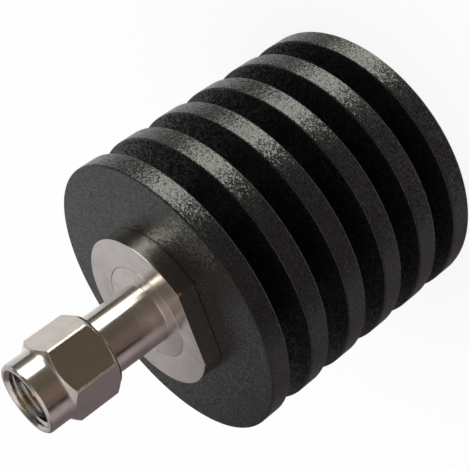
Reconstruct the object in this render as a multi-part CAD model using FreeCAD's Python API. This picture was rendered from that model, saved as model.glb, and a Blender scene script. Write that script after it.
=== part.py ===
import FreeCAD, Part
import math
import os

os.makedirs("parts", exist_ok=True)

# Coaxial terminator: a plug of the 6.35 mm, 36 threads per inch series on a finned heat sink.
# The part stands on the rear face of the heat sink, with the plug pointing up.
# Origin: centre of the rear face. +Z runs along the axis, out of the plug's mouth.
# The spanner flat of the mounting flange faces -Y. All sizes are in millimetres.

# Heat sink: one turned piece with equal round fins
fin_count = 6
fin_radius = 15.2
fin_thickness = 2.35
fin_gap = 2.83
fin_edge = 0.15
core_radius = 8.0

# Thread of the mounting flange in the heat sink
spigot_thread_radius = 6.0
spigot_length = 5.0
thread_run_out = 1.0
thread_clearance = 0.02
mouth_chamfer = 0.4

# Load chamber behind the thread
chamber_radius = 5.0
chamber_depth = 13.0

# Mounting flange
flange_radius = 8.3
flange_thickness = 2.07
flange_chamfer = 0.22
flange_flat_depth = 1.0

# Shell of the plug: contact sleeve, nut seat, barrel, disc in the flange, neck
disc_radius = 5.15
disc_thickness = 1.2
disc_clearance = 0.03
neck_radius = 4.6
neck_clearance = 0.02
barrel_radius = 3.2
barrel_length = 6.4
barrel_chamfer = 0.12
nut_seat_radius = 2.75
nut_seat_length = 2.4
sleeve_radius = 2.29
sleeve_length = 2.75
sleeve_edge = 0.08
ring_groove_radius = 2.3
ring_groove_start = 1.12

# Coaxial line inside the shell
line_radius = 2.05
contact_radius = 0.635
air_line_conductor_radius = 0.89
stop_radius = 2.5
stop_thickness = 1.0
stop_setback = 0.4
insulator_clearance = 0.02
bead_thickness = 2.0
bead_setback = 0.1

# Centre contact
pin_radius = 0.455
pin_length = 2.3
pin_point_length = 0.4
pin_point_radius = 0.2
tail_radius = 0.4
tail_length = 1.6

# Gasket round the raised foot of the contact sleeve
sleeve_foot_radius = 2.45
sleeve_foot_length = 0.45
gasket_thickness = 0.6
gasket_bore_clearance = 0.02
gasket_width = 0.38

# Coupling nut
nut_across_flats = 8.0
nut_turn_deg = 34.0
nut_face_inset = 0.05
nut_length = 8.25
nut_seat_gap = 0.02
nut_running_clearance = 0.05
hexagon_length = 5.65
hexagon_rear_chamfer_deg = 40.0
hexagon_front_chamfer_deg = 36.0
collar_radius = 3.8
collar_fillet = 0.3
collar_chamfer = 0.2
nut_lip_chamfer = 0.15
nut_thread_radius = 2.95
nut_thread_length = 4.4
nut_mouth_radius = 3.3
nut_relief_radius = 3.25
nut_relief_length = 1.2
nut_ring_groove_radius = 3.15

# Retaining ring: an open ring of square section that carries the nut
ring_inner_radius = 2.35
ring_outer_radius = 3.1
ring_thickness = 0.55
ring_side_clearance = 0.02
ring_opening = 0.9
nut_float = 0.3

# Resistor and its carrier in the load chamber
shim_thickness = 0.1
carrier_clearance = 0.1
carrier_base_thickness = 2.0
shelf_length = 9.6
substrate_width = 5.0
substrate_length = 5.4
substrate_thickness = 1.0
substrate_setback = 1.2
film_width = 3.6
film_length = 3.6
film_thickness = 0.05
terminal_width = 4.2
terminal_length = 0.9
cover_width = 4.4
cover_length = 3.8
cover_thickness = 0.9
tab_width = 1.1
tab_thickness = 0.2
tab_overlap = 0.6
tab_clearance = 0.02
slot_depth = 1.2
conductor_gap = 0.8

# Screws that hold the carrier to the floor of the chamber
screw_thread_radius = 0.8
screw_hole_radius = 0.85
screw_thread_depth = 3.2
screw_length = 4.8
screw_head_radius = 1.4
screw_head_height = 1.6
screw_socket_radius = 0.75
screw_socket_depth = 0.8
washer_radius = 1.5
washer_thickness = 0.3
screw_edge_distance = 1.58
screw_angle_deg = 21.0
screw_clearance = 0.02

# Heights along the axis that several pieces share
fin_pitch = fin_thickness + fin_gap
sink_length = (fin_count - 1) * fin_pitch + fin_thickness
flange_face = sink_length + flange_thickness
disc_seat = flange_face - disc_thickness
neck_end = sink_length - spigot_length
thread_end = neck_end - thread_run_out
chamber_floor = thread_end - chamber_depth
nut_shoulder = flange_face + barrel_length
gasket_seat = nut_shoulder + nut_seat_length
reference_plane = gasket_seat + sleeve_length
nut_base = nut_shoulder + nut_seat_gap
nut_mouth = nut_base + nut_length
ring_base = nut_shoulder + ring_groove_start + ring_side_clearance
stop_seat = flange_face - stop_setback
bush_top = stop_seat - stop_thickness
bead_top = neck_end + bead_setback + bead_thickness
bead_bottom = neck_end + bead_setback
carrier_radius = chamber_radius - carrier_clearance
carrier_floor = chamber_floor + shim_thickness
carrier_top = carrier_floor + carrier_base_thickness
shelf_end = carrier_top + shelf_length
conductor_end = shelf_end + conductor_gap
film_face = -tab_thickness / 2
substrate_face = film_face - film_thickness
shelf_face = substrate_face - substrate_thickness
substrate_front = shelf_end - substrate_setback
substrate_rear = substrate_front - substrate_length
film_middle = (substrate_front + substrate_rear) / 2
flat_distance = flange_radius - flange_flat_depth


def turned(outline):
    """A solid turned about the axis from a closed outline of (radius, height) points."""
    points = [FreeCAD.Vector(radius, 0, height) for radius, height in outline]
    face = Part.Face(Part.makePolygon(points + points[:1]))
    return face.revolve(FreeCAD.Vector(0, 0, 0), FreeCAD.Vector(0, 0, 1), 360)


def disc(radius, bottom, top, x=0.0, y=0.0):
    """A plain round solid parallel to the axis."""
    return Part.makeCylinder(radius, top - bottom, FreeCAD.Vector(x, y, bottom))


def block(width, low_y, high_y, bottom, top):
    """A block centred on x = 0, between two heights and two distances from the axis."""
    corner = FreeCAD.Vector(-width / 2, low_y, bottom)
    return Part.makeBox(width, high_y - low_y, top - bottom, corner)


def screw_places():
    """The two screw centres, one on each side of the resistor."""
    reach = carrier_radius - screw_edge_distance
    across = reach * math.cos(math.radians(screw_angle_deg))
    rise = reach * math.sin(math.radians(screw_angle_deg))
    return [(-across, rise), (across, rise)]


def save(name, shape):
    """Write one sub-part under its own name."""
    shape.exportStep("parts/" + name + ".step")


def heat_sink():
    """Six fins on a core, with a threaded mouth and a blind chamber, turned from one bar."""
    outline = [(0, 0)]
    for number in range(fin_count):
        bottom = number * fin_pitch
        top = bottom + fin_thickness
        if number > 0:
            outline.append((core_radius, bottom))
        outline.append((fin_radius - fin_edge, bottom))
        outline.append((fin_radius, bottom + fin_edge))
        outline.append((fin_radius, top - fin_edge))
        outline.append((fin_radius - fin_edge, top))
        if number < fin_count - 1:
            outline.append((core_radius, top))
    outline.append((spigot_thread_radius + mouth_chamfer, sink_length))
    outline.append((spigot_thread_radius, sink_length - mouth_chamfer))
    outline.append((spigot_thread_radius, thread_end))
    outline.append((chamber_radius, thread_end))
    outline.append((chamber_radius, chamber_floor))
    outline.append((0, chamber_floor))
    body = turned(outline)
    for x, y in screw_places():
        body = body.cut(disc(screw_thread_radius, chamber_floor - screw_thread_depth, chamber_floor, x, y))
    return body


def mounting_flange():
    """Round flange with one spanner flat, and the threaded spigot that enters the heat sink."""
    plate = disc(flange_radius, sink_length, flange_face)
    flat = block(4 * flange_radius, -2 * flange_radius, -flat_distance, sink_length, flange_face)
    plate = plate.cut(flat)
    rim = [edge for edge in plate.Edges if edge.BoundBox.ZLength < flange_chamfer / 2]
    plate = plate.makeChamfer(flange_chamfer, rim)
    spigot_radius = spigot_thread_radius - thread_clearance
    spigot = turned([
        (0, neck_end),
        (spigot_radius - mouth_chamfer, neck_end),
        (spigot_radius, neck_end + mouth_chamfer),
        (spigot_radius, sink_length),
        (0, sink_length),
    ])
    body = plate.fuse(spigot).removeSplitter()
    body = body.cut(disc(neck_radius + neck_clearance, neck_end, flange_face))
    return body.cut(disc(disc_radius + disc_clearance, disc_seat, flange_face))


def connector_shell():
    """Outer conductor, turned as one piece from the contact sleeve to the neck."""
    groove_bottom = nut_shoulder + ring_groove_start
    groove_top = groove_bottom + ring_thickness + 2 * ring_side_clearance + nut_float
    return turned([
        (stop_radius, neck_end),
        (neck_radius, neck_end),
        (neck_radius, disc_seat),
        (disc_radius, disc_seat),
        (disc_radius, flange_face),
        (barrel_radius, flange_face),
        (barrel_radius, nut_shoulder - barrel_chamfer),
        (barrel_radius - barrel_chamfer, nut_shoulder),
        (nut_seat_radius, nut_shoulder),
        (nut_seat_radius, groove_bottom),
        (ring_groove_radius, groove_bottom),
        (ring_groove_radius, groove_top),
        (nut_seat_radius, groove_top),
        (nut_seat_radius, gasket_seat),
        (sleeve_foot_radius, gasket_seat),
        (sleeve_foot_radius, gasket_seat + sleeve_foot_length),
        (sleeve_radius, gasket_seat + sleeve_foot_length),
        (sleeve_radius, reference_plane - sleeve_edge),
        (sleeve_radius - sleeve_edge, reference_plane),
        (line_radius, reference_plane),
        (line_radius, stop_seat),
        (stop_radius, stop_seat),
    ])


def nut_outside():
    """Hexagon with a turned chamfer at each end, running into the round front collar."""
    flat_radius = nut_across_flats / 2
    corner_radius = flat_radius / math.cos(math.pi / 6)
    front_slope = math.tan(math.radians(hexagon_front_chamfer_deg))
    rear_slope = math.tan(math.radians(hexagon_rear_chamfer_deg))
    cone_end = nut_base + hexagon_length
    face_radius = flat_radius - nut_face_inset
    envelope = turned([
        (0, nut_base),
        (face_radius, nut_base),
        (corner_radius, nut_base + (corner_radius - face_radius) * rear_slope),
        (corner_radius, cone_end - (corner_radius - collar_radius) * front_slope),
        (collar_radius, cone_end),
        (collar_radius, nut_mouth - collar_chamfer),
        (collar_radius - collar_chamfer, nut_mouth),
        (0, nut_mouth),
    ])
    root = [edge for edge in envelope.Edges if edge.BoundBox.ZLength < collar_fillet / 10
            and abs(edge.BoundBox.ZMin - cone_end) < collar_fillet / 10]
    envelope = envelope.makeFillet(collar_fillet, root)
    corners = []
    for number in range(7):
        angle = math.radians(nut_turn_deg + 60 * number)
        x = corner_radius * math.cos(angle)
        y = corner_radius * math.sin(angle)
        corners.append(FreeCAD.Vector(x, y, nut_base))
    prism = Part.Face(Part.makePolygon(corners)).extrude(FreeCAD.Vector(0, 0, nut_length))
    return envelope.common(prism)


def coupling_nut():
    """Coupling nut: lip behind the ring, ring groove, relief, threaded bore and open mouth."""
    ring_top = ring_base + ring_thickness + ring_side_clearance
    thread_base = nut_mouth - nut_thread_length
    relief_base = thread_base - nut_relief_length
    mouth_step = nut_mouth_radius - nut_thread_radius
    lip_radius = nut_seat_radius + nut_running_clearance
    bore = turned([
        (0, nut_base),
        (lip_radius + nut_lip_chamfer, nut_base),
        (lip_radius, nut_base + nut_lip_chamfer),
        (lip_radius, ring_base - ring_side_clearance),
        (nut_ring_groove_radius, ring_base - ring_side_clearance),
        (nut_ring_groove_radius, ring_top),
        (nut_thread_radius, ring_top),
        (nut_thread_radius, relief_base),
        (nut_relief_radius, relief_base),
        (nut_relief_radius, thread_base),
        (nut_thread_radius, thread_base),
        (nut_thread_radius, nut_mouth - mouth_step),
        (nut_mouth_radius, nut_mouth),
        (0, nut_mouth),
    ])
    return nut_outside().cut(bore)


def retaining_ring():
    """Open spring ring that sits half in the shell's groove and half in the nut's."""
    ring = disc(ring_outer_radius, ring_base, ring_base + ring_thickness)
    ring = ring.cut(disc(ring_inner_radius, ring_base, ring_base + ring_thickness))
    top = ring_base + ring_thickness
    return ring.cut(block(ring_opening, 0, 2 * ring_outer_radius, ring_base, top))


def gasket():
    """Flat sealing ring that the mating plug's rim presses on."""
    inner = sleeve_foot_radius + gasket_bore_clearance
    outer = inner + gasket_width
    ring = disc(outer, gasket_seat, gasket_seat + gasket_thickness)
    return ring.cut(disc(inner, gasket_seat, gasket_seat + gasket_thickness))


def front_insulator():
    """Dielectric of the plug, flush with the reference plane and stopped by a rear flange."""
    return turned([
        (contact_radius, bush_top),
        (stop_radius - insulator_clearance, bush_top),
        (stop_radius - insulator_clearance, stop_seat),
        (line_radius - insulator_clearance, stop_seat),
        (line_radius - insulator_clearance, reference_plane),
        (contact_radius, reference_plane),
    ])


def centre_contact():
    """Centre pin with a rounded point, and a tail that plugs into the inner conductor."""
    pin_end = reference_plane + pin_length
    return turned([
        (0, bush_top - tail_length),
        (tail_radius, bush_top - tail_length),
        (tail_radius, bush_top),
        (contact_radius, bush_top),
        (contact_radius, reference_plane),
        (pin_radius, reference_plane),
        (pin_radius, pin_end - pin_point_length),
        (pin_point_radius, pin_end),
        (0, pin_end),
    ])


def line_bush():
    """Bush pressed into the shell behind the insulator; its bore is the air line."""
    outer = stop_radius - insulator_clearance
    return disc(outer, bead_top, bush_top).cut(disc(line_radius, bead_top, bush_top))


def rear_insulator():
    """Bead that centres the inner conductor at the end of the neck."""
    outer = stop_radius - insulator_clearance
    return disc(outer, bead_bottom, bead_top).cut(disc(contact_radius, bead_bottom, bead_top))


def inner_conductor():
    """Stepped rod with a socket for the contact's tail and a slot for the resistor's tab."""
    socket_radius = tail_radius + insulator_clearance
    rod = turned([
        (0, conductor_end),
        (contact_radius, conductor_end),
        (contact_radius, bead_top),
        (air_line_conductor_radius, bead_top),
        (air_line_conductor_radius, bush_top),
        (socket_radius, bush_top),
        (socket_radius, bush_top - tail_length),
        (0, bush_top - tail_length),
    ])
    half_slot = tab_thickness / 2 + tab_clearance
    slot = block(4 * contact_radius, -half_slot, half_slot, conductor_end, conductor_end + slot_depth)
    return rod.cut(slot)


def thermal_shim():
    """Soft metal foil between the carrier and the floor of the chamber."""
    sheet = disc(carrier_radius, chamber_floor, carrier_floor)
    for x, y in screw_places():
        sheet = sheet.cut(disc(screw_hole_radius, chamber_floor, carrier_floor, x, y))
    return sheet


def thermal_carrier():
    """Round foot with a half-round shelf whose flat carries the resistor."""
    foot = disc(carrier_radius, carrier_floor, carrier_top)
    shelf = disc(carrier_radius, carrier_floor, shelf_end)
    shelf = shelf.cut(block(3 * carrier_radius, shelf_face, 2 * carrier_radius, carrier_floor, shelf_end))
    body = foot.fuse(shelf).removeSplitter()
    for x, y in screw_places():
        body = body.cut(disc(screw_hole_radius, carrier_floor, carrier_top, x, y))
    return body


def screw_washers():
    """One plain washer under each screw head."""
    rings = []
    for x, y in screw_places():
        ring = disc(washer_radius, carrier_top, carrier_top + washer_thickness, x, y)
        hole = disc(screw_hole_radius, carrier_top, carrier_top + washer_thickness, x, y)
        rings.append(ring.cut(hole))
    return Part.makeCompound(rings)


def carrier_screws():
    """Two socket-head screws into the floor of the chamber."""
    seat = carrier_top + washer_thickness
    top = seat + screw_head_height
    screws = []
    for x, y in screw_places():
        shank = disc(screw_thread_radius - screw_clearance, seat - screw_length, seat, x, y)
        head = disc(screw_head_radius, seat, top, x, y)
        socket = disc(screw_socket_radius, top - screw_socket_depth, top, x, y)
        screws.append(head.fuse(shank).removeSplitter().cut(socket))
    return Part.makeCompound(screws)


def resistor_substrate():
    """Ceramic chip soldered to the shelf."""
    return block(substrate_width, shelf_face, substrate_face, substrate_rear, substrate_front)


def resistor_film():
    """Resistive film on the chip."""
    low = film_middle - film_length / 2
    return block(film_width, substrate_face, film_face, low, low + film_length)


def resistor_terminals():
    """Silver terminals of the film: the input at the front end, the ground at the rear end."""
    pads = []
    for start in (film_middle + film_length / 2, film_middle - film_length / 2 - terminal_length):
        pads.append(block(terminal_width, substrate_face, film_face, start, start + terminal_length))
    return Part.makeCompound(pads)


def resistor_tab():
    """Silver tab from the input terminal to the inner conductor."""
    start = film_middle + film_length / 2 + terminal_length - tab_overlap
    end = conductor_end + slot_depth - tab_clearance
    return block(tab_width, -tab_thickness / 2, tab_thickness / 2, start, end)


def resistor_cover():
    """Ceramic lid over the film."""
    low = film_middle - cover_length / 2
    return block(cover_width, film_face, film_face + cover_thickness, low, low + cover_length)


save("heat_sink", heat_sink())
save("mounting_flange", mounting_flange())
save("connector_shell", connector_shell())
save("coupling_nut", coupling_nut())
save("retaining_ring", retaining_ring())
save("gasket", gasket())
save("front_insulator", front_insulator())
save("centre_contact", centre_contact())
save("line_bush", line_bush())
save("rear_insulator", rear_insulator())
save("inner_conductor", inner_conductor())
save("thermal_shim", thermal_shim())
save("thermal_carrier", thermal_carrier())
save("screw_washers", screw_washers())
save("carrier_screws", carrier_screws())
save("resistor_substrate", resistor_substrate())
save("resistor_film", resistor_film())
save("resistor_terminals", resistor_terminals())
save("resistor_tab", resistor_tab())
save("resistor_cover", resistor_cover())
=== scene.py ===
"""Looks of a coaxial terminator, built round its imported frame.

Lengths in the dataclasses are in millimetres and everything in Blender is in metres.
The part stands on its heat sink, with +Z running out of the plug's mouth.
"""

import logging
import math
from dataclasses import dataclass
from enum import Enum, IntEnum
from typing import ClassVar, NamedTuple, Optional, Sequence

import bmesh
import bpy
from bmesh.types import BMEdge, BMesh, BMVert
from mathutils import Matrix, Vector


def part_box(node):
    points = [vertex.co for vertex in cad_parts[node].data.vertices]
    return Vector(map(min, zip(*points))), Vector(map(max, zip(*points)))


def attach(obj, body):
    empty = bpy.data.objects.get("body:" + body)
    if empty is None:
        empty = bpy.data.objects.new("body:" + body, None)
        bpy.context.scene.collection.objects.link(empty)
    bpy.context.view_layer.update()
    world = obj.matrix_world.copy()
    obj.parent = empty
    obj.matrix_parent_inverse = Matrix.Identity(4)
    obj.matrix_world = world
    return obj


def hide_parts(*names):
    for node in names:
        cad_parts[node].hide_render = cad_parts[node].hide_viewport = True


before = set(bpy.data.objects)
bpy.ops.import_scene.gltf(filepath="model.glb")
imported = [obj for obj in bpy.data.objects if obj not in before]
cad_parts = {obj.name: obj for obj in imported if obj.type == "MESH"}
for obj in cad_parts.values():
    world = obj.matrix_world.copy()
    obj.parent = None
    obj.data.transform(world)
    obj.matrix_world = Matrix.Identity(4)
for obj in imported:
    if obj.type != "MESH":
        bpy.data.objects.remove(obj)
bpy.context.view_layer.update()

MM = 0.001
STEPS = 192
SHARP_ANGLE = math.radians(24)
ROUNDING_SEGMENTS = 4
MERGE_DISTANCE = 2e-7
CUT_DISTANCE = 1e-8
# The normal of an upright face has less than this along the axis.
UPRIGHT = 0.01

log = logging.getLogger("terminator")

Triple = tuple[float, float, float]
Colour = Triple
Socket = bpy.types.NodeSocket


class Body(Enum):
    """The bodies of the frame that pieces ride on."""

    LOAD = "load"
    RING = "ring"
    NUT = "nut"


class Marks(Enum):
    """The direction of the fine lines that a tool left on metal."""

    TURNED = "turned"
    DRAWN = "drawn"


class FlangeFinish(IntEnum):
    """Material numbers on the mounting flange."""

    TURNED = 0
    SIDE = 1
    FOOT_SHADE = 2


class NutFinish(IntEnum):
    """Material numbers on the coupling nut."""

    TURNED = 0
    FLAT = 1
    REAR_CONE = 2
    BORE = 3
    WORN_EDGE_HIGHLIGHT = 4


class Corner(NamedTuple):
    """One corner of a section: distance from the axis, height and rounding."""

    radius: float
    height: float
    rounding: float = 0.0


class Span(NamedTuple):
    """Lowest and highest point of a node of the frame along the axis."""

    low: float
    high: float


def span(node: str) -> Span:
    """Reads how far a node reaches along the axis.

    Args:
        node: Name of the node in the frame.

    Returns:
        Its lowest and highest height in millimetres.
    """
    low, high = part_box(node)
    return Span(low.z / MM, high.z / MM)


# ---------------------------------------------------------------- shaping


def section(shape: BMesh, corners: Sequence[Corner], open_at_end: bool = False) -> None:
    """Draws the outline of a turned piece in the XZ plane, with its corners rounded.

    Args:
        shape: Mesh that receives the outline as edges.
        corners: The outline's corners in order. It is closed from the last to the first.
        open_at_end: Whether the closing edge is left out.
    """
    points = [shape.verts.new((c.radius * MM, 0.0, c.height * MM)) for c in corners]
    shape.faces.new(points)
    if open_at_end:
        closing = shape.edges.get((points[-1], points[0]))
    else:
        closing = None
    for rounding in sorted({c.rounding for c in corners if c.rounding > 0}):
        chosen = [p for p, c in zip(points, corners) if c.rounding == rounding]
        bmesh.ops.bevel(
            shape, geom=chosen, offset=rounding * MM, offset_type="OFFSET", affect="VERTICES",
            segments=ROUNDING_SEGMENTS, profile=0.5, clamp_overlap=True, material=-1,
        )
    bmesh.ops.delete(shape, geom=shape.faces[:], context="FACES_ONLY")
    dropped = [e for e in shape.edges if max(abs(v.co.x) for v in e.verts) < MERGE_DISTANCE]
    if closing is not None and closing not in dropped:
        dropped.append(closing)
    bmesh.ops.delete(shape, geom=dropped, context="EDGES")


def ring_section(inner: float, outer: float, height: Span, edge: float) -> list[Corner]:
    """The section of a ring with four equal roundings.

    Args:
        inner: Inner radius.
        outer: Outer radius.
        height: Its lowest and highest height.
        edge: Size of the roundings.

    Returns:
        The section's corners.
    """
    return [
        Corner(inner, height.low, edge),
        Corner(outer, height.low, edge),
        Corner(outer, height.high, edge),
        Corner(inner, height.high, edge),
    ]


def spun(shape: BMesh, steps: int = STEPS, turn: float = math.tau, start: float = 0.0) -> BMesh:
    """Turns everything in a mesh about the axis.

    Args:
        shape: Mesh that holds the outline.
        steps: Number of steps in the turn.
        turn: Angle of the turn, in radians.
        start: Angle at which it starts, in radians.

    Returns:
        The same mesh, turned, with its doubles merged.
    """
    bmesh.ops.rotate(shape, verts=shape.verts[:], cent=(0, 0, 0), matrix=Matrix.Rotation(start, 3, "Z"))
    bmesh.ops.spin(
        shape, geom=shape.verts[:] + shape.edges[:], cent=(0, 0, 0), axis=(0, 0, 1), dvec=(0, 0, 0),
        angle=turn, steps=steps, use_merge=turn >= math.tau, use_normal_flip=False, use_duplicate=False,
    )
    bmesh.ops.remove_doubles(shape, verts=shape.verts[:], dist=MERGE_DISTANCE)
    return shape


def rim(shape: BMesh, radius: float, height: float) -> list[BMEdge]:
    """Finds the open edges of a mesh that lie on one circle.

    Args:
        shape: Mesh to look in.
        radius: Radius of the circle.
        height: Height of the circle.

    Returns:
        The open edges on it.
    """
    slack = 0.01

    def on_circle(vert: BMVert) -> bool:
        """Whether a point lies on the circle."""
        return abs(vert.co.xy.length / MM - radius) < slack and abs(vert.co.z / MM - height) < slack

    return [e for e in shape.edges if e.is_boundary and all(on_circle(v) for v in e.verts)]


def cut_off(shape: BMesh, point: Vector, normal: Vector, fill: bool) -> list[BMEdge]:
    """Cuts away what lies beyond a plane.

    Args:
        shape: Mesh to cut.
        point: A point of the plane, in millimetres.
        normal: Direction of the side that goes.
        fill: Whether the cut gets a face.

    Returns:
        The edges of the cut.
    """
    everything = shape.verts[:] + shape.edges[:] + shape.faces[:]
    found = bmesh.ops.bisect_plane(
        shape, geom=everything, dist=CUT_DISTANCE, plane_co=point * MM, plane_no=normal, clear_outer=True,
    )
    edges = [part for part in found["geom_cut"] if isinstance(part, BMEdge)]
    if fill:
        bmesh.ops.edgeloop_fill(shape, edges=edges)
    return edges


def finished(
    name: str, shape: BMesh, node: str, body: Body, dress: Sequence[bpy.types.Material],
) -> bpy.types.Object:
    """Closes a mesh, dresses it and puts it in the place of a node of the frame.

    Args:
        name: Name of the new piece.
        shape: Its mesh, which is freed here.
        node: The node that it stands for.
        body: The body that it rides on.
        dress: Its materials, in the order of the faces' material numbers.

    Returns:
        The new piece.
    """
    bmesh.ops.remove_doubles(shape, verts=shape.verts[:], dist=MERGE_DISTANCE)
    bmesh.ops.recalc_face_normals(shape, faces=shape.faces[:])
    for face in shape.faces:
        face.smooth = True
    for edge in shape.edges:
        edge.smooth = edge.calc_face_angle(math.pi) < SHARP_ANGLE
    open_edges = sum(not edge.is_manifold for edge in shape.edges)
    mesh = bpy.data.meshes.new(name)
    shape.to_mesh(mesh)
    shape.free()
    for material in dress:
        mesh.materials.append(material)
    piece = bpy.data.objects.new(name, mesh)
    bpy.context.scene.collection.objects.link(piece)
    shading = piece.modifiers.new("even_shading", "WEIGHTED_NORMAL")
    shading.keep_sharp = True
    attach(piece, body.value)
    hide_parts(node)
    log.info("%s: %d faces, %d open edges, for %s", name, len(mesh.polygons), open_edges, node)
    return piece


# ---------------------------------------------------------------- finishes


class NodeSheet:
    """The nodes of one material, with short calls for what the finishes share."""

    def __init__(self, name: str) -> None:
        """Starts a material with its shader and its place on the piece.

        Args:
            name: The material's name.
        """
        self.material = bpy.data.materials.new(name)
        self.material.use_nodes = True
        self.tree = self.material.node_tree
        self.shader = next(n for n in self.tree.nodes if n.type == "BSDF_PRINCIPLED")
        self.place = self.add("ShaderNodeTexCoord").outputs["Object"]

    def add(self, kind: str, **settings: object) -> bpy.types.Node:
        """Adds a node.

        Args:
            kind: Blender's name of the node's type.
            **settings: Properties of the node and their values.

        Returns:
            The new node.
        """
        node = self.tree.nodes.new(kind)
        for key, value in settings.items():
            setattr(node, key, value)
        return node

    def feed(self, target: Socket, source: object) -> None:
        """Gives an input either a link or a fixed value.

        Args:
            target: The input.
            source: A socket, or the value that the input takes.
        """
        if isinstance(source, Socket):
            self.tree.links.new(source, target)
        else:
            target.default_value = source

    def sum(self, operation: str, first: object, second: object = 0.0) -> Socket:
        """Does one sum on two values.

        Args:
            operation: Blender's name of the operation.
            first: A socket or a number.
            second: A socket or a number.

        Returns:
            The result.
        """
        node = self.add("ShaderNodeMath", operation=operation)
        self.feed(node.inputs[0], first)
        self.feed(node.inputs[1], second)
        return node.outputs[0]

    def scaled_place(self, scale: Triple) -> Socket:
        """Stretches the place on the piece.

        Args:
            scale: Factor for each axis.

        Returns:
            The stretched place.
        """
        node = self.add("ShaderNodeMapping")
        self.feed(node.inputs["Vector"], self.place)
        node.inputs["Scale"].default_value = scale
        return node.outputs["Vector"]

    def lathe_place(self) -> Socket:
        """Reads the distance from the axis and the height, which are the same all round a turned piece.

        Returns:
            A vector that holds the two.
        """
        split = self.add("ShaderNodeSeparateXYZ")
        self.feed(split.inputs[0], self.place)
        squares = [self.sum("POWER", split.outputs[axis], 2.0) for axis in ("X", "Y")]
        radius = self.sum("SQRT", self.sum("ADD", squares[0], squares[1]))
        joined = self.add("ShaderNodeCombineXYZ")
        self.feed(joined.inputs["X"], radius)
        self.feed(joined.inputs["Y"], split.outputs["Z"])
        return joined.outputs[0]

    def round_the_axis(self) -> Socket:
        """Finds the direction of the tool's marks on a turned piece.

        Returns:
            The direction in the scene's axes.
        """
        along = self.add("ShaderNodeVectorMath", operation="CROSS_PRODUCT")
        along.inputs[0].default_value = (0.0, 0.0, 1.0)
        self.feed(along.inputs[1], self.place)
        turned = self.add("ShaderNodeVectorTransform", vector_type="VECTOR", convert_from="OBJECT", convert_to="WORLD")
        self.feed(turned.inputs[0], along.outputs[0])
        return turned.outputs[0]

    def noise(self, size: float, detail: float = 2.0, roughness: float = 0.5, place: Optional[Socket] = None) -> Socket:
        """Soft noise from 0 to 1.

        Args:
            size: Size of its patches in millimetres.
            detail: Number of finer layers.
            roughness: Strength of the finer layers.
            place: The vector that it reads, or None for the place on the piece.

        Returns:
            The noise.
        """
        node = self.add("ShaderNodeTexNoise")
        self.feed(node.inputs["Vector"], place or self.place)
        node.inputs["Scale"].default_value = 1 / (size * MM)
        node.inputs["Detail"].default_value = detail
        node.inputs["Roughness"].default_value = roughness
        return node.outputs[0]

    def range(self, source: Socket, low: float, high: float, start: float = 0.3, end: float = 0.7) -> Socket:
        """Maps part of a source's range to another range.

        Args:
            source: The value to map.
            low: Result at the start.
            high: Result at the end.
            start: Source value where the range starts.
            end: Source value where it ends.

        Returns:
            The mapped value.
        """
        node = self.add("ShaderNodeMapRange", interpolation_type="SMOOTHSTEP")
        self.feed(node.inputs["Value"], source)
        for key, value in (("From Min", start), ("From Max", end), ("To Min", low), ("To Max", high)):
            node.inputs[key].default_value = value
        return node.outputs[0]

    def blend(self, amount: Socket, first: object, second: object) -> Socket:
        """Mixes two colours.

        Args:
            amount: Share of the second colour.
            first: A socket or a colour.
            second: A socket or a colour.

        Returns:
            The mixed colour.
        """
        node = self.add("ShaderNodeMix", data_type="RGBA")
        # The seventh and eighth inputs of this node are its two colours.
        self.feed(node.inputs[0], amount)
        for socket, colour in ((node.inputs[6], first), (node.inputs[7], second)):
            self.feed(socket, colour if isinstance(colour, Socket) else (*colour, 1.0))
        return node.outputs[2]

    def raise_surface(self, height: Socket, depth: float, below: Optional[Socket] = None) -> Socket:
        """Turns a height into a bumped normal.

        Args:
            height: Height from 0 to 1.
            depth: Height in millimetres that 1 stands for.
            below: A normal that is bumped already.

        Returns:
            The bumped normal.
        """
        node = self.add("ShaderNodeBump")
        self.feed(node.inputs["Height"], height)
        node.inputs["Strength"].default_value = 1.0
        node.inputs["Distance"].default_value = depth * MM
        if below is not None:
            self.feed(node.inputs["Normal"], below)
        return node.outputs[0]

    def facets(self, size: float, tilt: float, below: Socket) -> tuple[Socket, Socket]:
        """Breaks a surface into small facets, each tilted its own way.

        Args:
            size: Size of a facet in millimetres.
            tilt: Widest tilt, as a share of the normal's length.
            below: The normal that is tilted.

        Returns:
            A value from 0 to 1 that differs from facet to facet, and the tilted normal.
        """
        cells = self.add("ShaderNodeTexVoronoi")
        self.feed(cells.inputs["Vector"], self.place)
        cells.inputs["Scale"].default_value = 1 / (size * MM)
        centred = self.add("ShaderNodeVectorMath", operation="SUBTRACT")
        self.feed(centred.inputs[0], cells.outputs["Color"])
        centred.inputs[1].default_value = (0.5, 0.5, 0.5)
        leaning = self.add("ShaderNodeVectorMath", operation="SCALE")
        self.feed(leaning.inputs[0], centred.outputs[0])
        leaning.inputs["Scale"].default_value = 2 * tilt
        joined = self.add("ShaderNodeVectorMath", operation="ADD")
        self.feed(joined.inputs[0], below)
        self.feed(joined.inputs[1], leaning.outputs[0])
        whole = self.add("ShaderNodeVectorMath", operation="NORMALIZE")
        self.feed(whole.inputs[0], joined.outputs[0])
        split = self.add("ShaderNodeSeparateXYZ")
        self.feed(split.inputs[0], cells.outputs["Color"])
        return split.outputs["X"], whole.outputs[0]

    def dress(self, colour: object, roughness: object, normal: Socket, metallic: float = 0.0, ior: float = 1.5) -> None:
        """Connects what a finish worked out to the shader.

        Args:
            colour: A socket or a colour.
            roughness: A socket or a number.
            normal: The bumped normal.
            metallic: 1 for bare metal.
            ior: Refractive index.
        """
        inputs = self.shader.inputs
        self.feed(inputs["Base Color"], colour if isinstance(colour, Socket) else (*colour, 1.0))
        self.feed(inputs["Roughness"], roughness)
        self.feed(inputs["Normal"], normal)
        inputs["Metallic"].default_value = metallic
        inputs["IOR"].default_value = ior


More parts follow.
